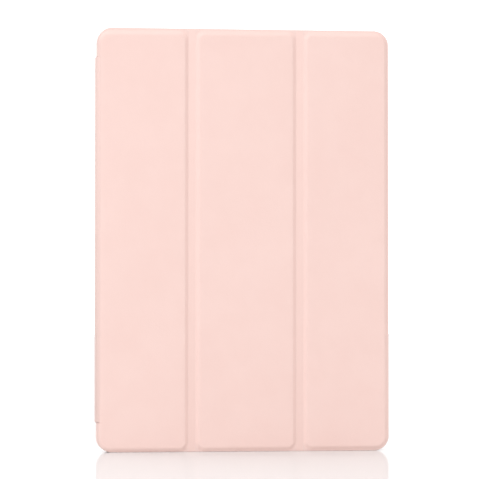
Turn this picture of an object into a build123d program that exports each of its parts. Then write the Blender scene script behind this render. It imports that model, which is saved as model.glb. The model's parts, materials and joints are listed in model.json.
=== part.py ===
from build123d import *

import os

# A closed tri-fold folio case for a 10.2-inch class tablet, stood on its short edge.
# X runs across the cover from the spine (-X) to its free edge (+X), Y from the front cover (-Y)
# to the shell's back (+Y), Z up. The origin is at the middle of the foot of the case. All in mm.

# the tablet that the shell holds
TABLET_WIDTH = 174.1
TABLET_HEIGHT = 250.6
TABLET_THICKNESS = 7.5
TABLET_PLAY = 0.25

# the case over all
CASE_WIDTH = 179.0
CASE_HEIGHT = 256.2
CASE_DEPTH = 13.0
CORNER_RADIUS = 9.0

# sheet and board thicknesses
SKIN = 0.7
LINING = 0.5
BOARD = 1.4
SPINE_BOARD = 0.4
COVER_GAP = 0.2

# the shell's walls
SHELL_FLOOR = 1.5
SHELL_WALL = 1.3
LIP_THICKNESS = 0.9
LIP_REACH = 0.8
SHELL_STEP = 0.7  # how far the spine strip stands out from the shell's corners
SHELL_BACK_RADIUS = 2.2
RIM_RADIUS = 0.6

# the cover's panels
PITCH_1 = 58.3
PITCH_2 = 65.9
GROOVE_FLAT = 4.2
GROOVE_SLOPE = 2.3
EDGE_SLOPE = 2.7
SPINE_SLOPE = 1.6
EDGE_FLAT = 0.7
SPINE_FLAT = 0.1
PAD_RADIUS = 5.0
BOARD_INSET = 0.75  # where a board's edge lies under the slope, as a share of its run

# the spine strip, shorter than the cover
STRIP_FOOT = 18.0
STRIP_TOP = 238.4
STRIP_END_GAP = 0.3
FRONT_FOLD_RADIUS = 2.4
BACK_FOLD_RADIUS = 2.8
TAIL_WIDTH = 16.0
TAIL_RADIUS = 4.0

# magnets: bars along the free edge and beside the spine, and one disc that wakes the tablet
MAGNET_WIDTH = 5.0
MAGNET_LENGTH = 20.0
MAGNET_THICKNESS = 0.9
MAGNET_INSET = 9.0
MAGNET_HEIGHTS = (52.0, 128.1, 204.2)
WAKE_RADIUS = 3.0
WAKE_HEIGHT = 166.0

# cut-outs in the shell
CAMERA_RADIUS = 6.0
CAMERA_INSET = 13.5
PORT_WIDTH = 15.0
PORT_HEIGHT = 6.6
SPEAKER_WIDTH = 17.0
SPEAKER_HEIGHT = 3.6
SPEAKER_OFFSET = 32.0
JACK_RADIUS = 3.4
JACK_INSET = 16.0
MIC_RADIUS = 1.0
MIC_OFFSET = 7.0
POWER_LENGTH = 22.0
POWER_INSET = 27.0
VOLUME_LENGTH = 34.0
VOLUME_HEIGHT = 206.0
BUTTON_SLOT = 5.4

# places worked out from the sizes above
LEFT = -CASE_WIDTH / 2
RIGHT = CASE_WIDTH / 2
FRONT = -CASE_DEPTH / 2
BACK = CASE_DEPTH / 2
COVER_THICKNESS = SKIN + BOARD + LINING
COVER_BACK = FRONT + COVER_THICKNESS
BORDER_FACE = COVER_BACK - LINING - SKIN
LINING_FACE = COVER_BACK - LINING
BOARD_FACE = LINING_FACE - BOARD
SPINE_INSIDE = LEFT + SKIN + SPINE_BOARD + LINING
SHELL_LEFT = LEFT + SHELL_STEP
RECESS_FACE = SPINE_INSIDE + COVER_GAP
RIM_FACE = COVER_BACK + COVER_GAP
BAY_WIDTH = TABLET_WIDTH + 2 * TABLET_PLAY
BAY_HEIGHT = TABLET_HEIGHT + 2 * TABLET_PLAY
BAY_FRONT = RIM_FACE + LIP_THICKNESS
BAY_BACK = BACK - SHELL_FLOOR
BAY_LEFT = RECESS_FACE + SHELL_WALL
BAY_RIGHT = BAY_LEFT + BAY_WIDTH
BAY_MIDDLE_X = (BAY_LEFT + BAY_RIGHT) / 2
BAY_MIDDLE_Y = (BAY_FRONT + BAY_BACK) / 2
BAY_FOOT = (CASE_HEIGHT - BAY_HEIGHT) / 2
BAY_TOP = CASE_HEIGHT - BAY_FOOT
BAY_RADIUS = CORNER_RADIUS - 2.0
EAR_LEFT = LEFT + 0.8
FRONT_FOLD_X = LEFT + FRONT_FOLD_RADIUS
FRONT_FOLD_Y = BORDER_FACE + FRONT_FOLD_RADIUS
BACK_FOLD_X = LEFT + BACK_FOLD_RADIUS
BACK_FOLD_Y = BACK - BACK_FOLD_RADIUS
TAIL_RIGHT = BACK_FOLD_X + TAIL_WIDTH
CREASE_1 = LEFT + PITCH_1
CREASE_2 = CREASE_1 + PITCH_2
CUT = 2.0  # how far a cutting tool runs past a face


def block(x0, x1, y0, y1, z0, z1):
    """A box between two corners."""
    centre = Pos((x0 + x1) / 2, (y0 + y1) / 2, (z0 + z1) / 2)
    return centre * Box(x1 - x0, y1 - y0, z1 - z0)


def slab(x0, x1, y0, y1, z0, z1, left_radius, right_radius):
    """A flat plate that faces Y, with its left and right pairs of corners rounded."""
    plate = block(x0, x1, y0, y1, z0, z1)
    for x, radius in ((x0, left_radius), (x1, right_radius)):
        if radius:
            corners = plate.edges().filter_by(Axis.Y).filter_by_position(Axis.X, x - 0.01, x + 0.01)
            plate = fillet(corners, radius)
    return plate


def round_rectangle(x0, x1, z0, z1, radius, y):
    """A rounded rectangle in the plane at y, facing -Y."""
    plane = Plane(origin=((x0 + x1) / 2, y, (z0 + z1) / 2), x_dir=(1, 0, 0), z_dir=(0, -1, 0))
    return plane * RectangleRounded(x1 - x0, z1 - z0, radius)


def tapered_pad(index):
    """The raised pad of a panel: a rounded rectangle at the border's face that tapers to the front."""
    (x0, x1), (left_run, right_run) = pad_span(index), pad_slopes(index)
    z0, z1 = EDGE_FLAT, CASE_HEIGHT - EDGE_FLAT
    wide = round_rectangle(x0, x1, z0, z1, PAD_RADIUS + GROOVE_SLOPE, BORDER_FACE)
    narrow = round_rectangle(
        x0 + left_run, x1 - right_run, z0 + EDGE_SLOPE, z1 - EDGE_SLOPE, PAD_RADIUS, FRONT
    )
    return loft([wide, narrow], ruled=True)


def disc_through(x, y, z, radius, depth, axis):
    """A cylinder along a named axis, centred at a point, for round cut-outs and discs."""
    turn = {"X": Rot(0, 90, 0), "Y": Rot(90, 0, 0), "Z": Rot(0, 0, 0)}[axis]
    return Pos(x, y, z) * turn * Cylinder(radius, depth)


def quarter_band(x, y, outer, inner, x_sign, y_sign, z0, z1):
    """A strip that bends a quarter turn about a Z line: a ring's quarter in the given quadrant."""
    middle = (z0 + z1) / 2
    ring = Pos(x, y, middle) * (Cylinder(outer, z1 - z0) - Cylinder(inner, z1 - z0 + CUT))
    span_x = sorted((x, x + x_sign * (outer + CUT)))
    span_y = sorted((y, y + y_sign * (outer + CUT)))
    return ring & block(*span_x, *span_y, z0, z1)


def rounded_slot(x, y, z, length, width, depth, run, through):
    """A slot cutter with round ends: it is long along one axis and cuts through along another."""
    round_tool = SlotOverall(length, width)
    planes = {
        ("X", "Z"): Plane(origin=(x, y, z - depth / 2), x_dir=(1, 0, 0), z_dir=(0, 0, 1)),
        ("Z", "X"): Plane(origin=(x - depth / 2, y, z), x_dir=(0, 0, 1), z_dir=(1, 0, 0)),
    }
    return extrude(planes[run, through] * round_tool, depth)


def shell_cutters():
    """Everything that is cut through the shell's walls and floor."""
    wall = 4 * BAY_FOOT
    foot_z, top_z = BAY_FOOT / 2, CASE_HEIGHT - BAY_FOOT / 2
    middle_x, middle_y = BAY_MIDDLE_X, BAY_MIDDLE_Y
    wall_x = (BAY_RIGHT + RIGHT) / 2
    camera_x, camera_z = BAY_RIGHT - CAMERA_INSET, BAY_TOP - CAMERA_INSET
    return [
        disc_through(camera_x, BACK - SHELL_FLOOR / 2, camera_z, CAMERA_RADIUS, 2 * SHELL_FLOOR, "Y"),
        rounded_slot(middle_x, middle_y, foot_z, PORT_WIDTH, PORT_HEIGHT, wall, "X", "Z"),
        rounded_slot(
            middle_x - SPEAKER_OFFSET, middle_y, foot_z, SPEAKER_WIDTH, SPEAKER_HEIGHT, wall, "X", "Z"
        ),
        rounded_slot(
            middle_x + SPEAKER_OFFSET, middle_y, foot_z, SPEAKER_WIDTH, SPEAKER_HEIGHT, wall, "X", "Z"
        ),
        disc_through(BAY_LEFT + JACK_INSET, middle_y, top_z, JACK_RADIUS, wall, "Z"),
        disc_through(middle_x + MIC_OFFSET, middle_y, top_z, MIC_RADIUS, wall, "Z"),
        rounded_slot(
            BAY_RIGHT - POWER_INSET, middle_y, top_z, POWER_LENGTH, BUTTON_SLOT, wall, "X", "Z"
        ),
        rounded_slot(wall_x, middle_y, VOLUME_HEIGHT, VOLUME_LENGTH, BUTTON_SLOT, wall, "Z", "X"),
    ]


def back_shell():
    """The hard tray: floor, four walls, an inward lip round the screen and the cut-outs."""
    tray = slab(SHELL_LEFT, RIGHT, RIM_FACE, BACK, 0, CASE_HEIGHT, CORNER_RADIUS, CORNER_RADIUS)
    tray = fillet(tray.faces().sort_by(Axis.Y)[-1].edges(), SHELL_BACK_RADIUS)
    tray = fillet(tray.faces().sort_by(Axis.Y)[0].edges(), RIM_RADIUS)
    tray -= slab(BAY_LEFT, BAY_RIGHT, BAY_FRONT, BAY_BACK, BAY_FOOT, BAY_TOP, BAY_RADIUS, BAY_RADIUS)
    tray -= slab(
        BAY_LEFT + LIP_REACH,
        BAY_RIGHT - LIP_REACH,
        RIM_FACE - CUT,
        BAY_MIDDLE_Y,
        BAY_FOOT + LIP_REACH,
        BAY_TOP - LIP_REACH,
        BAY_RADIUS - LIP_REACH,
        BAY_RADIUS - LIP_REACH,
    )
    for cutter in shell_cutters():
        tray -= cutter
    # a recess in the left wall takes the spine
    z0, z1 = STRIP_FOOT - STRIP_END_GAP, STRIP_TOP + STRIP_END_GAP
    recess = block(LEFT - CUT, RECESS_FACE, FRONT, BACK + CUT, z0, z1)
    # a shallow step in the back takes the tail of the spine strip, flush with the shell
    tail_step = slab(
        BACK_FOLD_X - CUT, TAIL_RIGHT + STRIP_END_GAP, BACK - SKIN, BACK + CUT, z0, z1, 0, TAIL_RADIUS
    )
    # the corner under the bend is cut back to the bend's own curve
    bend = BACK_FOLD_RADIUS - SKIN - COVER_GAP / 2
    corner = block(LEFT - CUT, BACK_FOLD_X, BACK_FOLD_Y, BACK + CUT, z0, z1)
    corner -= disc_through(BACK_FOLD_X, BACK_FOLD_Y, CASE_HEIGHT / 2, bend, CASE_HEIGHT, "Z")
    return tray - recess - tail_step - corner


def tail_skin():
    """The end of the spine strip that is glued into the step in the shell's back."""
    return slab(BACK_FOLD_X, TAIL_RIGHT, BACK - SKIN, BACK, STRIP_FOOT, STRIP_TOP, 0, TAIL_RADIUS)


def back_fold_skin():
    """The strip's bend from the shell's back to the spine."""
    radius = BACK_FOLD_RADIUS
    return quarter_band(
        BACK_FOLD_X, BACK_FOLD_Y, radius, radius - SKIN, -1, 1, STRIP_FOOT, STRIP_TOP
    )


def spine_layer(outside, inside):
    """One flat layer of the spine, from its outer to its inner X."""
    return block(outside, inside, FRONT_FOLD_Y, BACK_FOLD_Y, STRIP_FOOT, STRIP_TOP)


def front_fold(outer, inner):
    """One layer of the strip's bend from the spine to the front cover."""
    return quarter_band(FRONT_FOLD_X, FRONT_FOLD_Y, outer, inner, -1, -1, STRIP_FOOT, STRIP_TOP)


def cover_sheet(x0, x1, y0, y1):
    """One flat layer of the whole front cover between two X, with the cover's round corners."""
    sheet = slab(EAR_LEFT, RIGHT, y0, y1, 0, CASE_HEIGHT, CORNER_RADIUS, CORNER_RADIUS)
    # the left edge steps in where the spine strip's bend begins
    z0, z1 = STRIP_FOOT - STRIP_END_GAP, STRIP_TOP + STRIP_END_GAP
    sheet -= block(EAR_LEFT - CUT, FRONT_FOLD_X, y0 - CUT, y1 + CUT, z0, z1)
    return sheet & block(x0, x1, y0 - CUT, y1 + CUT, 0, CASE_HEIGHT)


def pad_span(index):
    """The X at which a panel's raised pad starts and ends, at the border's face."""
    half = GROOVE_FLAT / 2
    return [
        (FRONT_FOLD_X + SPINE_FLAT, CREASE_1 - half),
        (CREASE_1 + half, CREASE_2 - half),
        (CREASE_2 + half, RIGHT - EDGE_FLAT),
    ][index]


def pad_slopes(index):
    """How far the slopes at the left and right of a panel's pad run."""
    return [(SPINE_SLOPE, GROOVE_SLOPE), (GROOVE_SLOPE, GROOVE_SLOPE), (GROOVE_SLOPE, EDGE_SLOPE)][index]


def sheet_span(index):
    """The X at which a panel's skin and lining start and end."""
    half = GROOVE_FLAT / 2
    return [
        (EAR_LEFT, CREASE_1 - half),
        (CREASE_1 + half, CREASE_2 - half),
        (CREASE_2 + half, RIGHT),
    ][index]


def board_blank(index):
    """A panel's stiffening board, inside its pad."""
    (x0, x1), (left_run, right_run) = pad_span(index), pad_slopes(index)
    x0 += BOARD_INSET * left_run
    x1 -= BOARD_INSET * right_run
    z0 = EDGE_FLAT + BOARD_INSET * EDGE_SLOPE
    return slab(x0, x1, BOARD_FACE, LINING_FACE, z0, CASE_HEIGHT - z0, PAD_RADIUS, PAD_RADIUS)


def magnet_bars(x):
    """Three magnet bars one above another, let into the lining side of a board."""
    half_w, half_l = MAGNET_WIDTH / 2, MAGNET_LENGTH / 2
    y0 = LINING_FACE - MAGNET_THICKNESS
    return [
        block(x - half_w, x + half_w, y0, LINING_FACE, z - half_l, z + half_l) for z in MAGNET_HEIGHTS
    ]


def wake_magnet():
    """The disc that wakes the tablet, let into the last board."""
    y = LINING_FACE - MAGNET_THICKNESS / 2
    return disc_through(RIGHT - MAGNET_INSET, y, WAKE_HEIGHT, WAKE_RADIUS, MAGNET_THICKNESS, "Y")


def panel_board(index, inserts):
    """A board with a pocket for each magnet in it."""
    board = board_blank(index)
    for insert in inserts:
        board -= insert
    return board


def panel_skin(index):
    """A panel's outer skin: a flat border and a raised pad, hollow where the board lies."""
    x0, x1 = sheet_span(index)
    border = cover_sheet(x0, x1, BORDER_FACE, LINING_FACE)
    outline = cover_sheet(x0, x1, FRONT - CUT, BORDER_FACE)
    return border + (tapered_pad(index) & outline) - board_blank(index)


def panel_lining(index):
    """A panel's inner lining."""
    return cover_sheet(*sheet_span(index), LINING_FACE, COVER_BACK)


def crease_strip(x, y0, y1):
    """A layer of the thin strip between two panels."""
    half = GROOVE_FLAT / 2
    return block(x - half, x + half, y0, y1, 0, CASE_HEIGHT)


def build():
    """Every piece of the case by name."""
    stand_magnets = magnet_bars(FRONT_FOLD_X + MAGNET_INSET)
    closing_magnets = magnet_bars(RIGHT - MAGNET_INSET)
    inserts = [stand_magnets, [], closing_magnets + [wake_magnet()]]
    fold, bend = FRONT_FOLD_RADIUS, FRONT_FOLD_RADIUS - SKIN
    board_outside = LEFT + SKIN
    lining_outside = board_outside + SPINE_BOARD
    pieces = {
        "back_shell": back_shell(),
        "tail_skin": tail_skin(),
        "back_fold_skin": back_fold_skin(),
        "spine_skin": spine_layer(LEFT, board_outside),
        "spine_board": spine_layer(board_outside, lining_outside),
        "spine_lining": spine_layer(lining_outside, SPINE_INSIDE),
        "front_fold_skin": front_fold(fold, bend),
        "front_fold_lining": front_fold(bend, bend - LINING),
        "stand_magnets": Compound(children=stand_magnets),
        "closing_magnets": Compound(children=closing_magnets),
        "wake_magnet": wake_magnet(),
    }
    for index in range(3):
        name = f"panel_{index + 1}"
        pieces[f"{name}_board"] = panel_board(index, inserts[index])
        pieces[f"{name}_skin"] = panel_skin(index)
        pieces[f"{name}_lining"] = panel_lining(index)
    for number, x in enumerate((CREASE_1, CREASE_2), start=1):
        pieces[f"crease_{number}_skin"] = crease_strip(x, BORDER_FACE, LINING_FACE)
        pieces[f"crease_{number}_lining"] = crease_strip(x, LINING_FACE, COVER_BACK)
    return pieces


os.makedirs("parts", exist_ok=True)
for name, piece in build().items():
    export_step(piece, f"parts/{name}.step")
    box = piece.bounding_box()
    print(f"{name:20s} {piece.volume:10.1f} mm3  {box.min} {box.max}")
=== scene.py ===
import json
import math

import bpy
import numpy as np
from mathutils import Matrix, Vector


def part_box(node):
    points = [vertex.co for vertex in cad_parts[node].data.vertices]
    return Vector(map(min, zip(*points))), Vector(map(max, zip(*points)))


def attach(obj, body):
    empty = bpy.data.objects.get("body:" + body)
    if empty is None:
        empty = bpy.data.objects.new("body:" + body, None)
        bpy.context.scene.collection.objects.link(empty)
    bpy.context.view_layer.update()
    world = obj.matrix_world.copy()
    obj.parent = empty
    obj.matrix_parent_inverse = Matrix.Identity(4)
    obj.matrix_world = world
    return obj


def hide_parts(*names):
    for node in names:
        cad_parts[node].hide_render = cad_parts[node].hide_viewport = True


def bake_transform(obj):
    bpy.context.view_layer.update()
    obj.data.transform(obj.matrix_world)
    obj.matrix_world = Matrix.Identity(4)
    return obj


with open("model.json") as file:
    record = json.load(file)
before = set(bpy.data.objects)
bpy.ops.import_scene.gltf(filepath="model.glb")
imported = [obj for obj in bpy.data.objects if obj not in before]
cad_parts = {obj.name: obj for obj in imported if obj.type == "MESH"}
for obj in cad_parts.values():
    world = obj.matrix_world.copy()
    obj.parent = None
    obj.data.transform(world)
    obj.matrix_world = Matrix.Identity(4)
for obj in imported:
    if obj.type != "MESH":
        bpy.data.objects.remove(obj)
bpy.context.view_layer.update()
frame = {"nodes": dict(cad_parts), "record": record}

# The folio case in metres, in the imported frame: X runs from the spine to the cover's free edge,
# Y from the front cover to the shell's back, Z up. Shapes are worked out in millimetres.
MM = 0.001


def box(node):
    """A CAD node's lowest and highest corner, in millimetres."""
    return [np.array(corner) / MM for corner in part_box(node)]


# ---------------------------------------------------------------- camera
CAMERA_AZIMUTH = math.radians(7.3)
CAMERA_DISTANCE = 1.5439
CAMERA_HEIGHT = 0.0888
AIM = Vector((-0.0024, -0.0065, 0.1283))
LENS = 190.7


def make_camera():
    """A long lens, a little to the spine's side and below the middle of the case."""
    data = bpy.data.cameras.new("studio_camera")
    data.lens = LENS
    data.sensor_width = 36.0
    camera = bpy.data.objects.new("studio_camera", data)
    camera.location = (
        -CAMERA_DISTANCE * math.sin(CAMERA_AZIMUTH),
        -CAMERA_DISTANCE * math.cos(CAMERA_AZIMUTH),
        CAMERA_HEIGHT,
    )
    camera.rotation_euler = (AIM - camera.location).to_track_quat("-Z", "Y").to_euler()
    bpy.context.scene.collection.objects.link(camera)
    bpy.context.scene.camera = camera


make_camera()

# ---------------------------------------------------------------- places from the frame
SKIN_1, SKIN_2, SKIN_3 = (box(f"panel_{n}_skin") for n in (1, 2, 3))
FRONT = SKIN_2[0][1]
LINING_FACE = SKIN_2[1][1]
COVER_BACK = box("panel_2_lining")[1][1]
BOARD_FACE = box("panel_2_board")[0][1]
FOOT, TOP = SKIN_2[0][2], SKIN_2[1][2]
STRIP_FOOT, STRIP_TOP = box("spine_skin")[0][2], box("spine_skin")[1][2]
SPINE_LEFT, SPINE_SKIN_BACK = box("spine_skin")[0][0], box("spine_skin")[1][0]
SPINE_FRONT = box("spine_skin")[0][1]
FOLD_END = box("front_fold_skin")[1][0]

# sizes that the boxes don't give, in millimetres
BORDER_FILL = 0.2       # by how much the pressed leather of borders and grooves is fuller
CORNER = 9.0            # the cover's outer corners
PAD_CORNER = 3.2        # the raised pad's corners beside a groove
OUTER_PAD_CORNER = 5.6  # and at the cover's outer corners
FOOT_EDGE = (0.3, 2.3)  # the flat border outside a pad and the run of its slope, at the foot
TOP_EDGE = (0.9, 3.1)   # at the top
FREE_EDGE = (0.35, 2.4)  # and at the cover's free edge
GROOVE_SLOPE = 2.4      # and beside a groove
SPINE_REACH = 4.05      # from the spine's face to where panel 1 is flat
EDGE_ROUND = 0.35       # the round of the cover's cut edge
STRIP_GAP = 0.08        # between the strip's ends and the cover's corners
POCKET_GAP = 0.08       # room round a board inside its skin
POCKET_CAP = 0.02       # how far the pocket's end lies in front of the board
SLIVER = 0.05           # a side that lies under a neighbour stays this far inside it
CAP_INSET = 1.0         # from the start of a flat to its last ring
BOARD_CORNER = 5.0
LINING_THICKNESS = 0.5  # where the front bend turns about its inside
LINING_PRESS = 0.14     # how far the lining is pressed in outside a board
ASKEW = 0.004           # how far the pads rise for each millimetre to the right
BORDER_FACE = box("crease_1_skin")[0][1] - BORDER_FILL
LINING_BORDER = COVER_BACK - LINING_PRESS


# ---------------------------------------------------------------- meshes
SHARP_ANGLE = math.radians(50)
HAIR = 0.01  # a depth too small to see, for telling rings apart


def make_piece(name, points, faces, marks=None):
    """A mesh object from points in millimetres and faces.

    marks are values on points for the finishes. One more, fold, eases from 0 where panel 1 is
    flat to 1 at the spine's face; the leather darkens with it, a painted shade on that side.
    """
    mesh = bpy.data.meshes.new(name)
    mesh.from_pydata((points * MM).tolist(), [], [list(face) for face in faces])
    # the fold mask, which drives the leather's painted shade towards the spine
    lean = (SPINE_LEFT + SPINE_REACH - points[:, 0]) / SPINE_REACH
    for mark, values in {**(marks or {}), "fold": ease(lean)}.items():
        attribute = mesh.attributes.new(mark, "FLOAT", "POINT")
        attribute.data.foreach_set("value", values.astype(np.float32).ravel())
    mesh.polygons.foreach_set("use_smooth", np.ones(len(mesh.polygons), bool))
    mesh.set_sharp_from_angle(angle=SHARP_ANGLE)
    mesh.validate()
    piece = bpy.data.objects.new(name, mesh)
    bpy.context.scene.collection.objects.link(piece)
    return piece


def ease(t):
    """A smooth step from 0 to 1: 3 t squared less 2 t cubed."""
    t = np.clip(t, 0, 1)
    return t * t * (3 - 2 * t)


def rise(t):
    """A softened ramp from 0 to 1: half way between a straight line and a smooth step."""
    return (t + ease(t)) / 2


CORNER_STEPS = 15


def ring_points(
    x0, x1, z0, z1, left_radius, right_radius, left_square, right_square, y, heights, notch=None
):
    """Rings round a panel, one for each entry of the arrays.

    A corner at angle a is its centre plus the radius times (cos a, sin a). Where it is to be
    square, both are divided by the larger of the two. Each side has a point at each of the
    heights, which lie between its corners. The right half of a ring runs from the foot to the
    top and the left half is its mirror, so that point k lies level with point N - 1 - k. notch
    is (x, z low, z high): between those heights the left side goes no further left than x.
    """
    angle = np.linspace(-math.pi / 2, 0, CORNER_STEPS)
    cos, sin = np.cos(angle), np.sin(angle)
    reach = 1 / np.maximum(np.abs(cos), np.abs(sin))

    def half(side_x, sign, radius, square):
        radius, square = radius[:, None], square[:, None]
        stretch = 1 - square + square * reach
        across = sign * radius * cos * stretch
        drop = radius * sin * stretch
        middle_x = side_x[:, None] - sign * radius
        low = [middle_x + across, z0[:, None] + radius + drop]
        high = [(middle_x + across)[:, ::-1], (z1[:, None] - radius - drop)[:, ::-1]]
        level = heights[None, :] + 0 * z0[:, None]
        side = [side_x[:, None] + 0 * level, level]
        return [np.concatenate([low[i], side[i], high[i]], axis=1) for i in (0, 1)]

    right = half(x1, 1, right_radius, right_square)
    left = half(x0, -1, left_radius, left_square)
    x = np.concatenate([right[0], left[0][:, ::-1]], axis=1)
    z = np.concatenate([right[1], left[1][:, ::-1]], axis=1)
    if notch is not None:
        stop, low, high = notch
        inside = (z > low) & (z < high) & (x < (x0 + x1)[:, None] / 2)
        x = np.where(inside, np.maximum(x, stop), x)
    return np.stack([x, y[:, None] + 0 * x, z], axis=-1)


def ring_faces(rings, count):
    """Quads between each ring and the next, and a ladder of quads across the first and the
    last ring."""
    k = np.arange(count)
    after = (k + 1) % count
    start = np.arange(rings - 1)[:, None] * count
    walls = np.stack([start + k, start + after, start + count + after, start + count + k], axis=-1)
    rung = np.arange(count // 2 - 1)
    ladder = np.stack([rung, rung + 1, count - 2 - rung, count - 1 - rung], axis=-1)
    last = (rings - 1) * count
    return np.concatenate([walls.reshape(-1, 4), ladder[:, ::-1], last + ladder])


def ringed_piece(name, rings, notch=None, flip=False):
    """A closed solid from a table of rings, from its hidden cap to its visible one.

    Each row is x0, x1, inset at the foot, inset at the top, left radius, right radius,
    left square, right square, y, pressed, rim. flip turns the faces for a piece whose visible
    side is its back. The rings of a pad, which are round at every corner and lie in front of
    the border, are sheared up by ASKEW times x; the end of the board's pocket isn't.
    """
    x0, x1, low, high, *corners, y, pressed, rim = np.array(rings, float).T
    points = ring_points(x0, x1, FOOT + low, TOP - high, *corners, y, SIDE_HEIGHTS, notch)
    in_front = y < BORDER_FACE - HAIR
    pocket = (y <= BOARD_FACE) & (y >= BOARD_FACE - POCKET_CAP - HAIR)
    left_square, right_square = corners[2:]
    pad = in_front & ~pocket & (left_square + right_square == 0)
    points[..., 2] += ASKEW * points[..., 0] * pad[:, None]
    count = points.shape[1]
    faces = ring_faces(len(rings), count)
    if flip:
        faces = faces[:, ::-1]
    marks = {"pressed": np.repeat(pressed, count), "rim": np.repeat(rim, count)}
    return make_piece(name, points.reshape(-1, 3), faces, marks)


def slab_faces(rows, columns):
    """Faces of a closed slab whose front grid comes first and its back grid second."""
    index = np.arange(rows * columns).reshape(rows, columns)
    back = index + rows * columns

    def quads(a, b, c, d):
        return np.stack([a, b, c, d], axis=-1).reshape(-1, 4)

    front = quads(index[:-1, :-1], index[:-1, 1:], index[1:, 1:], index[1:, :-1])
    rear = quads(back[:-1, :-1], back[1:, :-1], back[1:, 1:], back[:-1, 1:])
    foot = quads(index[0, :-1], back[0, :-1], back[0, 1:], index[0, 1:])
    top = quads(index[-1, :-1], index[-1, 1:], back[-1, 1:], back[-1, :-1])
    left = quads(index[:-1, 0], index[1:, 0], back[1:, 0], back[:-1, 0])
    right = quads(index[:-1, -1], back[:-1, -1], back[1:, -1], index[1:, -1])
    return np.concatenate([front, rear, foot, top, left, right])


def slab_piece(name, front, back, marks=None):
    """A closed solid between two grids of points, rows from the foot up, columns from -X or the
    start of the bend onwards; the front grid faces outwards."""
    rows, columns = front.shape[:2]
    points = np.concatenate([front.reshape(-1, 3), back.reshape(-1, 3)])
    return make_piece(name, points, slab_faces(rows, columns), marks)


# ---------------------------------------------------------------- the cover's leather
NOTCH_FOOT, NOTCH_TOP = STRIP_FOOT - STRIP_GAP, STRIP_TOP + STRIP_GAP
NOTCH_SLANT = 0.05
SIDE_HEIGHTS = np.array([
    NOTCH_FOOT - NOTCH_SLANT,
    NOTCH_FOOT + NOTCH_SLANT,
    NOTCH_TOP - NOTCH_SLANT,
    NOTCH_TOP + NOTCH_SLANT,
])
ROUND_STEPS = 5
SLOPE_STEPS = 12
RIM_SHARE = 0.9        # the share of the round that counts as cut edge
PRESSED_FADE = 1.5     # the pressed look is gone after 1 / PRESSED_FADE of the slope


def spine_curve(y):
    """How far left of panel 1's flat the skin lies at depth y: a quarter ellipse from the
    spine's face, where it runs front to back, to the pad, where it lies flat."""
    height = (SPINE_FRONT - y) / (SPINE_FRONT - FRONT)
    return SPINE_REACH * np.sqrt(np.clip(1 - height**2, 0, 1))


def cut_edge(face, hidden, sign):
    """The inset and depth of a cut edge: straight from the hidden side, then a quarter round
    to the face. sign is 1 where the face looks to the front, -1 to the back."""
    turn = np.linspace(0, math.pi / 2, ROUND_STEPS)
    inset = EDGE_ROUND * (1 - np.cos(turn))
    depth = face + sign * EDGE_ROUND * (1 - np.sin(turn))
    return np.concatenate([[0], inset]), np.concatenate([[hidden], depth])


def panel_outline(number):
    """Which sides of a panel are the cover's own edges, the radii of its two sides' corners,
    and their squareness: 1 beside a groove, where the corner is square."""
    outer = (number == 1, number == 3)
    radii = [CORNER if side else PAD_CORNER + GROOVE_SLOPE for side in outer]
    squares = [0 if side else 1 for side in outer]
    return outer, radii, squares


def edge_rings(number, sides, inset, depth, inner_rim):
    """The rings of a panel's cut edge. The sides that the cover's edge runs along are drawn in
    by the inset, the others keep their place. inner_rim is the rim mark where the round ends."""
    (outer_left, outer_right), (left_box, right_box), squares = panel_outline(number)
    left, right = sides
    rings = []
    for e, y in zip(inset, depth):
        left_in, right_in = (e if outer_left else 0), (e if outer_right else 0)
        rim = 1 if e < EDGE_ROUND * RIM_SHARE else inner_rim
        radii = [left_box - left_in, right_box - right_in]
        rings.append([left + left_in, right - right_in, e, e, *radii, *squares, y, 1, rim])
    return rings


def panel_rings(number):
    """The rings of a panel's leather, from the pocket for its board, over the cut edge, the
    border and the eased slope to the flat of the pad."""
    low, high = (SKIN_1, SKIN_2, SKIN_3)[number - 1]
    left, right = low[0], high[0]
    (outer_left, outer_right), (left_box, right_box), _ = panel_outline(number)
    board_low, board_high = box(f"panel_{number}_board")
    pocket = [board_low[0] - POCKET_GAP, board_high[0] + POCKET_GAP]
    pocket += [board_low[2] - FOOT - POCKET_GAP, TOP - board_high[2] - POCKET_GAP]
    pocket += [BOARD_CORNER, BOARD_CORNER, 0, 0]
    rings = [pocket + [BOARD_FACE - POCKET_CAP, 0, 0], pocket + [LINING_FACE, 0, 0]]
    inset, depth = cut_edge(BORDER_FACE, LINING_FACE, 1)
    rings += edge_rings(number, (left, right), inset, depth, inner_rim=0.5)

    pad_left = SPINE_LEFT + SPINE_REACH if outer_left else left + GROOVE_SLOPE
    flat, run = FREE_EDGE
    pad_right = right - flat - run if outer_right else right - GROOVE_SLOPE
    for t in np.linspace(0, 1, SLOPE_STEPS):
        y = BORDER_FACE + (FRONT - BORDER_FACE) * rise(t)
        sliver = SLIVER * (1 - t)
        x0 = pad_left - spine_curve(y) if outer_left else left + sliver + GROOVE_SLOPE * t
        x1 = pad_right + run * (1 - t) if outer_right else right - sliver - GROOVE_SLOPE * t
        foot_in, top_in = (edge[0] + edge[1] * t for edge in (FOOT_EDGE, TOP_EDGE))
        corners = []
        for outer, box_size in ((outer_left, left_box), (outer_right, right_box)):
            foot_radius = CORNER - EDGE_ROUND if outer else box_size
            top_radius = OUTER_PAD_CORNER if outer else PAD_CORNER
            corners.append(foot_radius + (top_radius - foot_radius) * t)
        pressed = 1 - ease(t * PRESSED_FADE)
        rings.append([x0, x1, foot_in, top_in, *corners, 0, 0, y, pressed, 0])
    sides = [pad_left + CAP_INSET, pad_right - CAP_INSET, foot_in + CAP_INSET, top_in + CAP_INSET]
    corners = [corner - CAP_INSET for corner in corners]
    rings.append([*sides, *corners, 0, 0, FRONT, 0, 0])
    return rings


STRIP_NOTCH = (FOLD_END, NOTCH_FOOT, NOTCH_TOP)


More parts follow.
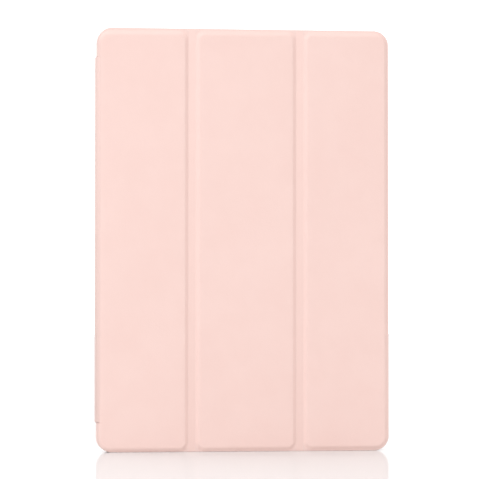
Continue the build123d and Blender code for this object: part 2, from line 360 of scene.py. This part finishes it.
def panel_leather(number):
    """A panel's outer leather, drawn over its board."""
    notch = STRIP_NOTCH if number == 1 else None
    return ringed_piece(f"panel_{number}_leather", panel_rings(number), notch)


def cut_rows(face, hidden, sign):
    """Heights and depths of the rows of a strip that ends in the cover's cut edge at its foot
    and its top."""
    inset, depth = cut_edge(face, hidden, sign)
    inset, depth = inset[1:], depth[1:]
    heights = np.concatenate([FOOT + inset, TOP - inset[::-1]])
    return heights, np.concatenate([depth, depth[::-1]])


CREASE_STEPS = 25


def crease_slab(name, node, face, hidden, sign):
    """The thin strip between two panels: flat from side to side, its ends cut and rounded like
    the cover's edge, with enough columns to bend smoothly."""
    low, high = box(node)
    heights, depths = cut_rows(face, hidden, sign)
    x = np.linspace(low[0], high[0], CREASE_STEPS)
    grid_x, grid_z = np.meshgrid(x, heights)
    outer = np.stack([grid_x, np.repeat(depths[:, None], CREASE_STEPS, axis=1), grid_z], axis=-1)
    inner = np.stack([grid_x, np.full_like(grid_x, hidden), grid_z], axis=-1)
    if sign < 0:
        outer, inner = outer[:, ::-1], inner[:, ::-1]
    below_face = np.abs(depths - face) > EDGE_ROUND * (1 - RIM_SHARE)
    edge = np.repeat(below_face[:, None], CREASE_STEPS, axis=1)
    rim = np.concatenate([edge.ravel(), edge.ravel()]).astype(float)
    return slab_piece(name, outer, inner, {"pressed": np.ones_like(rim), "rim": rim})


# ---------------------------------------------------------------- the lining
PRESS_STEPS = 6
PRESS_OUTSIDE = 0.5  # where the pressed step starts outside a board
PRESS_RUN = 1.1      # and how far it runs inwards


def lining_rings(number):
    """The rings of a panel's lining, from its hidden side over the cut edge to the flat that
    lies under the board, a little proud of the pressed border. Along the cut edge the inset
    grows with the square of the step and the depth with its square root."""
    low, high = box(f"panel_{number}_lining")
    left, right = low[0], high[0]
    board_low, board_high = box(f"panel_{number}_board")
    _, (left_box, right_box), squares = panel_outline(number)
    hidden = [left + CAP_INSET, right - CAP_INSET, CAP_INSET, CAP_INSET]
    corners = [left_box - CAP_INSET, right_box - CAP_INSET]
    rings = [[*hidden, *corners, *squares, LINING_FACE, 0, 0]]
    steps = np.linspace(0, 1, ROUND_STEPS)
    depth = LINING_FACE + (LINING_BORDER - LINING_FACE) * np.sqrt(steps)
    rings += edge_rings(number, (left, right), EDGE_ROUND * steps**2, depth, inner_rim=0)
    foot_in, top_in = board_low[2] - FOOT, TOP - board_high[2]
    for t in np.linspace(0, 1, PRESS_STEPS):
        grow = PRESS_OUTSIDE - PRESS_RUN * t
        corners = [BOARD_CORNER + grow, BOARD_CORNER + grow]
        y = LINING_BORDER + LINING_PRESS * ease(t)
        sides = [board_low[0] - grow, board_high[0] + grow, foot_in - grow, top_in - grow]
        rings.append([*sides, *corners, 0, 0, y, 1 - t, 0])
    return rings


def panel_lining(number):
    """A panel's inner lining."""
    notch = STRIP_NOTCH if number == 1 else None
    return ringed_piece(f"panel_{number}_microfibre", lining_rings(number), notch, flip=True)


# ---------------------------------------------------------------- the spine strip
FOLD_STEPS = 17
END_ROUND = 0.15         # how far the leather's ends are softened
LINING_END_ROUND = 0.1   # and the lining's
END_HEIGHTS = (0.0, 0.3, 1.0)  # rows at a strip's end, in shares of its softening
END_PULLS = (1.0, 0.35, 0.0)   # and how far each is drawn to the middle
SPINE_STEPS = 5


def strip_slab(name, outer, inner, soft=END_ROUND):
    """A strip that keeps one section up the spine: its outer and inner lines are carried from
    the strip's foot to its top. At both ends each line is drawn towards the middle one, by
    twice soft over the strip's thickness."""
    outer, inner = np.array(outer, float), np.array(inner, float)
    middle = (outer + inner) / 2
    length = np.linalg.norm(outer - inner, axis=1, keepdims=True)
    pull = soft / np.maximum(length, 4 * soft) * 2
    heights = [STRIP_FOOT + soft * height for height in END_HEIGHTS]
    z = np.array(heights + [STRIP_TOP + STRIP_FOOT - h for h in reversed(heights)])
    share = np.array(END_PULLS + END_PULLS[::-1])[:, None, None] * pull

    def carried(line):
        drawn = line + (middle - line) * share
        return np.concatenate([drawn, np.repeat(z[:, None, None], len(line), axis=1)], axis=-1)

    end = np.repeat((share[:, 0, 0] > HAIR)[:, None], len(outer), axis=1).astype(float)
    rim = np.concatenate([end.ravel(), end.ravel()])
    return slab_piece(name, carried(outer), carried(inner), {"pressed": 0 * rim, "rim": rim})


def arc(centre, radius, start, stop):
    """Points on a circle from one angle to another, in degrees."""
    angle = np.radians(np.linspace(start, stop, FOLD_STEPS))
    across, along = centre[0] + radius * np.cos(angle), centre[1] + radius * np.sin(angle)
    return np.stack([across, along], axis=-1)


def front_fold_leather():
    """The strip's bend at the front: outside, the quarter ellipse that runs on into panel 1;
    inside, the round that the lining follows."""
    lining_low = box("front_fold_lining")[0]
    flat_x = SPINE_LEFT + SPINE_REACH
    reach = (flat_x - FOLD_END) / SPINE_REACH
    turn = np.linspace(0, math.pi / 2 - math.asin(reach), FOLD_STEPS)
    outer = np.stack([
        flat_x - SPINE_REACH * np.cos(turn),
        SPINE_FRONT - (SPINE_FRONT - FRONT) * np.sin(turn),
    ], axis=-1)
    inner = arc((FOLD_END, SPINE_FRONT), FOLD_END - lining_low[0], 180, 270)
    return strip_slab("front_fold_leather", outer, inner)


def front_fold_lining():
    """The lining inside the front bend."""
    outer_radius = FOLD_END - box("front_fold_lining")[0][0]
    inner_radius = outer_radius - (LINING_BORDER - LINING_FACE)
    centre = (FOLD_END, SPINE_FRONT)
    outer, inner = (arc(centre, radius, 180, 270) for radius in (outer_radius, inner_radius))
    return strip_slab("front_fold_microfibre", outer, inner, LINING_END_ROUND)


def back_fold_leather():
    """The strip's bend at the back, a quarter round from the spine to the tail."""
    low, high = box("back_fold_skin")
    outer_radius = high[0] - low[0]
    inner_radius = outer_radius - (SPINE_SKIN_BACK - SPINE_LEFT)
    centre = (high[0], low[1])
    outer, inner = (arc(centre, radius, 90, 180) for radius in (outer_radius, inner_radius))
    return strip_slab("back_fold_leather", outer, inner)


def flat_strip(name, node, outer_x, inner_x, soft):
    """A flat layer of the spine, straight from its back to its front."""
    low, high = box(node)
    y = np.linspace(high[1], low[1], SPINE_STEPS)
    outer = np.stack([np.full_like(y, outer_x), y], axis=-1)
    inner = np.stack([np.full_like(y, inner_x), y], axis=-1)
    return strip_slab(name, outer, inner, soft)


TAIL_CORNER = 4.0
TAIL_EDGE = 0.25       # the round of its free edges
TAIL_FLAT = 2.0        # from its edge to its last ring
TAIL_TIGHTEN = 1.5     # the most that its corners tighten towards the flat
TAIL_FOLD_CORNER = 0.5  # the radius that stands for its square corners beside the bend


def tail_leather():
    """The strip's end on the shell's back: a flat tongue with two round corners, its free edges
    turned down, and its side beside the bend straight."""
    low, high = box("tail_skin")
    turn = np.linspace(0, math.pi / 2, ROUND_STEPS)
    inset = TAIL_EDGE * (1 - np.cos(turn))
    depth = high[1] - TAIL_EDGE * (1 - np.sin(turn))
    rows = [[low[0], high[0], 0, low[1]]]
    rows += [[low[0], high[0] - e, e, y] for e, y in zip(inset, depth)]
    rows.append([low[0] + HAIR * 2, high[0] - TAIL_FLAT, TAIL_FLAT, high[1]])
    x0, x1, e, y = np.array(rows).T
    radius = TAIL_CORNER - np.minimum(e, TAIL_TIGHTEN)
    small = np.full_like(e, TAIL_FOLD_CORNER)
    one, none = np.ones_like(e), np.zeros_like(e)
    heights = np.linspace(low[2] + 2 * TAIL_CORNER, high[2] - 2 * TAIL_CORNER, 4)
    points = ring_points(x0, x1, low[2] + e, high[2] - e, small, radius, one, none, y, heights)
    count = points.shape[1]
    faces = ring_faces(len(rows), count)[:, ::-1]
    rim = np.repeat((y < high[1] - HAIR * 3).astype(float), count)
    marks = {"pressed": 0 * rim, "rim": rim}
    return make_piece("tail_leather", points.reshape(-1, 3), faces, marks)


# ---------------------------------------------------------------- finishes
class Wire:
    """A node's output that takes part in sums. Each operator adds a Math node."""

    def __init__(self, finish, socket):
        self.finish, self.socket = finish, socket

    def _sum(self, operation, first, second):
        return self.finish.add("ShaderNodeMath", {"operation": operation}, {0: first, 1: second})

    def __add__(self, other):
        return self._sum("ADD", self, other)

    def __radd__(self, other):
        return self._sum("ADD", other, self)

    def __sub__(self, other):
        return self._sum("SUBTRACT", self, other)

    def __rsub__(self, other):
        return self._sum("SUBTRACT", other, self)

    def __mul__(self, other):
        return self._sum("MULTIPLY", self, other)

    def __rmul__(self, other):
        return self._sum("MULTIPLY", other, self)


class Finish:
    """A material, or the world if it is given, and one way to add any node to it."""

    def __init__(self, name, world=None):
        self.material = world or bpy.data.materials.new(name)
        self.material.use_nodes = True
        self.tree = self.material.node_tree
        self.tree.nodes.clear()
        self.place = self.add("ShaderNodeTexCoord", out="Object")

    def add(self, kind, settings=None, sockets=None, out=0):
        """One node: its settings first, then the values or wires of its sockets."""
        node = self.tree.nodes.new(kind)
        for name, value in (settings or {}).items():
            setattr(node, name, value)
        for key, value in (sockets or {}).items():
            if isinstance(value, Wire):
                self.tree.links.new(value.socket, node.inputs[key])
            else:
                node.inputs[key].default_value = value
        return Wire(self, node.outputs[out])

    def noise(self, scale, detail=2.0, roughness=0.5, place=None):
        """Soft noise whose bumps are about 1 / scale apart."""
        sockets = {"Scale": scale, "Detail": detail, "Roughness": roughness}
        return self.add("ShaderNodeTexNoise", None, {"Vector": place or self.place, **sockets})

    def stretched(self, x, y, z):
        """The place with its axes scaled, for grain that runs one way."""
        return self.add("ShaderNodeMapping", None, {"Vector": self.place, "Scale": (x, y, z)})

    def mark(self, name):
        """A value that the mesh carries on its points."""
        settings = {"attribute_type": "GEOMETRY", "attribute_name": name}
        return self.add("ShaderNodeAttribute", settings, None, "Fac")

    def spread(self, value, low, high, start=0.0, stop=1.0):
        """The value stretched from low..high to start..stop, and held inside it."""
        sockets = {"From Min": low, "From Max": high, "To Min": start, "To Max": stop}
        settings = {"interpolation_type": "SMOOTHSTEP"}
        return self.add("ShaderNodeMapRange", settings, {"Value": value, **sockets})

    def blend(self, factor, first, second):
        """A colour between two colours."""
        settings = {"data_type": "RGBA", "clamp_factor": True}
        return self.add("ShaderNodeMix", settings, {0: factor, 6: first, 7: second}, 2)

    def surface(self, colour, roughness, height, depth, constants, metallic=0.0):
        """The shader: height is a bump of the given depth in metres, constants are its fixed
        sockets."""
        bumps = {"Strength": 1.0, "Distance": depth, "Height": height}
        sockets = {"Base Color": colour, "Roughness": roughness, "Metallic": metallic}
        sockets["Normal"] = self.add("ShaderNodeBump", None, bumps)
        shader = self.add("ShaderNodeBsdfPrincipled", None, {**sockets, **constants})
        self.add_output(shader)
        return self.material

    def add_output(self, shader, kind="ShaderNodeOutputMaterial"):
        """The last node, which takes the finished shader."""
        output = self.tree.nodes.new(kind)
        self.tree.links.new(shader.socket, output.inputs["Surface"])


def rgb(red, green, blue):
    """A solid colour."""
    return (red, green, blue, 1.0)


LEATHER = rgb(0.784, 0.568, 0.519)
LEATHER_DEEP = rgb(0.768, 0.546, 0.497)
LEATHER_PRESSED = rgb(0.778, 0.556, 0.505)
# painted shade: the leather darkened over the bend to the spine and on the spine itself
LEATHER_FOLD_SHADE = rgb(0.660, 0.474, 0.434)
LEATHER_RIM = rgb(0.700, 0.540, 0.508)


def leather_finish():
    """Smooth polyurethane leather: fine pebbled grain with pores, a soft mottle, a slight shine
    where it is pressed, a duller cut edge and a painted shade over the bend to the spine."""
    f = Finish("smooth_pink_leather")
    cells = {"Vector": f.place, "Scale": 1700.0, "Smoothness": 0.7, "Randomness": 1.0}
    pebbles = f.add("ShaderNodeTexVoronoi", {"feature": "SMOOTH_F1"}, cells, "Distance")
    fine = f.noise(5200.0, 3.0, 0.6)
    swell = f.noise(330.0, 2.0, 0.5)
    mottle = f.spread(f.noise(60.0, 3.0, 0.55), 0.3, 0.7)
    cloud = f.spread(f.noise(14.0, 2.0, 0.5), 0.3, 0.7)
    pressed, rim, fold = f.mark("pressed"), f.mark("rim"), f.mark("fold")
    colour = f.blend(mottle * 0.5 + cloud * 0.5, LEATHER, LEATHER_DEEP)
    colour = f.blend(pressed * 0.6, colour, LEATHER_PRESSED)
    # painted shade: darker by the fold mask, from panel 1's flat to the spine's face
    colour = f.blend(fold, colour, LEATHER_FOLD_SHADE)
    colour = f.blend(rim * 0.8, colour, LEATHER_RIM)
    colour = f.blend(f.spread(pebbles, 0.35, 0.75, 0.0, 0.25), colour, LEATHER_DEEP)
    roughness = 0.56 + 0.08 * mottle + 0.05 * fine - 0.08 * pressed + 0.12 * rim
    height = (1 - pebbles) * 0.55 + fine * 0.25 + swell * 0.3
    constants = {"Specular IOR Level": 0.35, "IOR": 1.45}
    constants |= {"Sheen Weight": 0.06, "Sheen Roughness": 0.5}
    return f.surface(colour, roughness, height, 0.00005, constants)


MICROFIBRE = rgb(0.700, 0.440, 0.395)
MICROFIBRE_DEEP = rgb(0.610, 0.360, 0.320)


def microfibre_finish():
    """Brushed microfibre: a short nap that lies up the case, in lighter and darker strokes."""
    f = Finish("brushed_microfibre")
    nap = f.noise(1.0, 4.0, 0.65, f.stretched(3600.0, 3600.0, 900.0))
    strokes = f.noise(1.0, 3.0, 0.55, f.stretched(170.0, 170.0, 38.0))
    lint = f.noise(2400.0, 2.0, 0.7)
    stroke = f.spread(strokes, 0.32, 0.68)
    shade = f.spread(nap, 0.3, 0.7)
    colour = f.blend(stroke * 0.3 + shade * 0.4, MICROFIBRE, MICROFIBRE_DEEP)
    colour = f.blend(f.mark("pressed") * 0.25, colour, MICROFIBRE_DEEP)
    roughness = 0.88 + 0.08 * shade
    height = nap * 0.7 + lint * 0.3
    constants = {"Specular IOR Level": 0.2, "Sheen Weight": 0.35, "Sheen Roughness": 0.45}
    return f.surface(colour, roughness, height, 0.00012, constants)


SHELL = rgb(0.770, 0.545, 0.496)
SHELL_DEEP = rgb(0.745, 0.518, 0.470)


def shell_finish():
    """Moulded hard plastic: a fine eroded texture, an even satin with faint cloudiness."""
    f = Finish("satin_pink_plastic")
    spark = f.noise(3800.0, 3.0, 0.7)
    ripple = f.noise(45.0, 2.0, 0.4)
    cloud = f.spread(f.noise(22.0, 3.0, 0.5), 0.3, 0.7)
    colour = f.blend(cloud * 0.7 + spark * 0.3, SHELL, SHELL_DEEP)
    roughness = 0.36 + 0.08 * cloud + 0.08 * spark
    height = spark * 0.6 + ripple * 0.5
    constants = {"Specular IOR Level": 0.45, "IOR": 1.5}
    return f.surface(colour, roughness, height, 0.00003, constants)


def board_finish():
    """Grey stiffening board: pressed fibres and flecks."""
    f = Finish("grey_board")
    fibres = f.noise(1.0, 4.0, 0.6, f.stretched(900.0, 900.0, 3200.0))
    flecks = f.spread(f.noise(1500.0, 2.0, 0.6), 0.55, 0.75)
    colour = f.blend(fibres, rgb(0.20, 0.18, 0.165), rgb(0.13, 0.12, 0.11))
    colour = f.blend(flecks * 0.5, colour, rgb(0.32, 0.29, 0.26))
    return f.surface(colour, 0.8 + 0.1 * fibres, fibres, 0.00006, {"Specular IOR Level": 0.25})


def magnet_finish():
    """Nickel plate with fine lines along the bar."""
    f = Finish("nickel_plate")
    lines = f.noise(1.0, 3.0, 0.6, f.stretched(5000.0, 5000.0, 120.0))
    colour = f.blend(lines, rgb(0.62, 0.61, 0.59), rgb(0.50, 0.49, 0.48))
    return f.surface(colour, 0.22 + 0.16 * lines, lines, 0.00001, {"Specular IOR Level": 0.5}, 1.0)


FINISHES = {
    "cover_leather": leather_finish(),
    "microfibre": microfibre_finish(),
    "shell_plastic": shell_finish(),
    "board_core": board_finish(),
    "magnet_metal": magnet_finish(),
}

# ---------------------------------------------------------------- the pieces in place


def dress(piece, slot_name, *nodes):
    """Gives a new piece its finish and hides the CAD nodes it stands for."""
    piece.data.materials.append(FINISHES[slot_name])
    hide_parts(*nodes)
    return piece


def at(x, y):
    """A point half way up the case, in metres."""
    return (x * MM, y * MM, (FOOT + TOP) / 2 * MM)


for number in (1, 2, 3):
    body = f"panel_{number}"
    leather = dress(panel_leather(number), "cover_leather", f"panel_{number}_skin")
    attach(leather, body)
    lining = dress(panel_lining(number), "microfibre", f"panel_{number}_lining")
    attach(lining, body)

for number in (1, 2):
    low, high = box(f"crease_{number}_skin")
    start, end = at(low[0], BORDER_FACE), at(high[0], BORDER_FACE)
    for cloth, slot_name, layer, face, sign in (
        ("leather", "cover_leather", "skin", BORDER_FACE, 1),
        ("microfibre", "microfibre", "lining", LINING_BORDER, -1),
    ):
        node = f"crease_{number}_{layer}"
        strip = crease_slab(f"crease_{number}_{cloth}", node, face, LINING_FACE, sign)
        dress(strip, slot_name, node)
        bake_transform(strip)

spine_leather = flat_strip("spine_leather", "spine_skin", SPINE_LEFT, SPINE_SKIN_BACK, END_ROUND)
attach(dress(spine_leather, "cover_leather", "spine_skin"), "spine")
spine_low, spine_high = box("spine_lining")
spine_inner = spine_high[0] - LINING_PRESS
spine_lining = flat_strip(
    "spine_microfibre", "spine_lining", spine_low[0], spine_inner, LINING_END_ROUND
)
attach(dress(spine_lining, "microfibre", "spine_lining"), "spine")
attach(dress(tail_leather(), "cover_leather", "tail_skin"), "shell")

# the bends: where the front bend meets its neighbours' faces is worked out, and each bend gets its
# finish
fold_inner = FOLD_END - box("front_fold_lining")[0][0] - LINING_THICKNESS
front_start = at(FOLD_END - fold_inner, SPINE_FRONT)
front_end = at(FOLD_END, SPINE_FRONT - fold_inner)
for piece, slot_name, node in (
    (front_fold_leather(), "cover_leather", "front_fold_skin"),
    (front_fold_lining(), "microfibre", "front_fold_lining"),
):
    dress(piece, slot_name, node)
    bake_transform(piece)

back_low, back_high = box("back_fold_skin")
skin = SPINE_SKIN_BACK - SPINE_LEFT
back_fold = dress(back_fold_leather(), "cover_leather", "back_fold_skin")
at(back_high[0], back_high[1] - skin)
at(back_low[0] + skin, back_low[1])
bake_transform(back_fold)

# the pieces that keep their CAD shape take their finish from the record's slots
SLOTS = {part["node"]: part["material_slot"] for part in frame["record"]["subparts"]}
for name, node in frame["nodes"].items():
    for slot in node.material_slots:
        slot.material = FINISHES[SLOTS[name]]


# ---------------------------------------------------------------- floor, light and air
FLOOR_HALF = 6.0        # half the floor's side, in metres
FLOOR_GROUND = 0.68     # how pale the matt ground is
FLOOR_SHEEN = 0.37      # the mirror's share
FLOOR_ROUGHNESS = 0.09


def floor_finish():
    """White gloss board: a pale matt ground under an even, slightly soft mirror."""
    f = Finish("white_floor")
    ground = f.add("ShaderNodeBsdfDiffuse", None, {"Color": rgb(*[FLOOR_GROUND] * 3)})
    mirror = {"Color": rgb(1, 1, 1), "Roughness": FLOOR_ROUGHNESS}
    gloss = f.add("ShaderNodeBsdfAnisotropic", None, mirror)
    f.add_output(f.add("ShaderNodeMixShader", None, {0: FLOOR_SHEEN, 1: ground, 2: gloss}))
    return f.material


def make_floor():
    """A wide flat sheet on which the case stands."""
    half = FLOOR_HALF
    corners = [(-half, -half, 0), (half, -half, 0), (half, half, 0), (-half, half, 0)]
    mesh = bpy.data.meshes.new("floor")
    mesh.from_pydata(corners, [], [(0, 1, 2, 3)])
    floor = bpy.data.objects.new("floor", mesh)
    bpy.context.scene.collection.objects.link(floor)
    floor.data.materials.append(floor_finish())


KEY_POWER = 6.4
KEY_SIZE = 0.9
KEY_COLOUR = (0.90, 1.0, 1.05)
KEY_PLACE = Vector((-0.96, -0.76, 0.84))
AIR_FRONT = 1.16  # the air's strength in front and behind
AIR_SIDE = 0.50   # at the two sides
AIR_TOP = 0.30    # and what is added overhead
AIR_BACK = 0.30   # and behind


def make_lamp():
    """One large soft lamp, high and to the left in front."""
    data = bpy.data.lights.new("key_light", "AREA")
    data.shape = "SQUARE"
    data.size = KEY_SIZE
    data.energy = KEY_POWER
    data.color = KEY_COLOUR
    lamp = bpy.data.objects.new("key_light", data)
    lamp.location = KEY_PLACE
    target = Vector((0, 0, (FOOT + TOP) / 2 * MM))
    lamp.rotation_euler = (target - KEY_PLACE).to_track_quat("-Z", "Y").to_euler()
    bpy.context.scene.collection.objects.link(lamp)


def make_air():
    """White air all round, dimmer to the left and right, brighter overhead and behind."""
    air = Finish("white_air", bpy.data.worlds.new("white_air"))
    way = air.add("ShaderNodeTexCoord", out="Generated")
    split = air.add("ShaderNodeSeparateXYZ", None, {0: way})
    side = air.add("ShaderNodeMath", {"operation": "ABSOLUTE"}, {0: split})
    up = Wire(air, split.socket.node.outputs["Z"])
    back = Wire(air, split.socket.node.outputs["Y"])
    level = air.spread(side, 0.70, 0.98, AIR_FRONT, AIR_SIDE)
    overhead = air.spread(up, 0.25, 1.0, 0.0, AIR_TOP)
    behind = air.spread(back, 0.4, 0.95, 0.0, AIR_BACK)
    sockets = {"Color": rgb(1, 1, 1), "Strength": level + overhead + behind}
    air.add_output(air.add("ShaderNodeBackground", None, sockets), "ShaderNodeOutputWorld")
    bpy.context.scene.world = air.material


make_floor()
make_lamp()
make_air()
bpy.context.scene.view_settings.view_transform = "Standard"
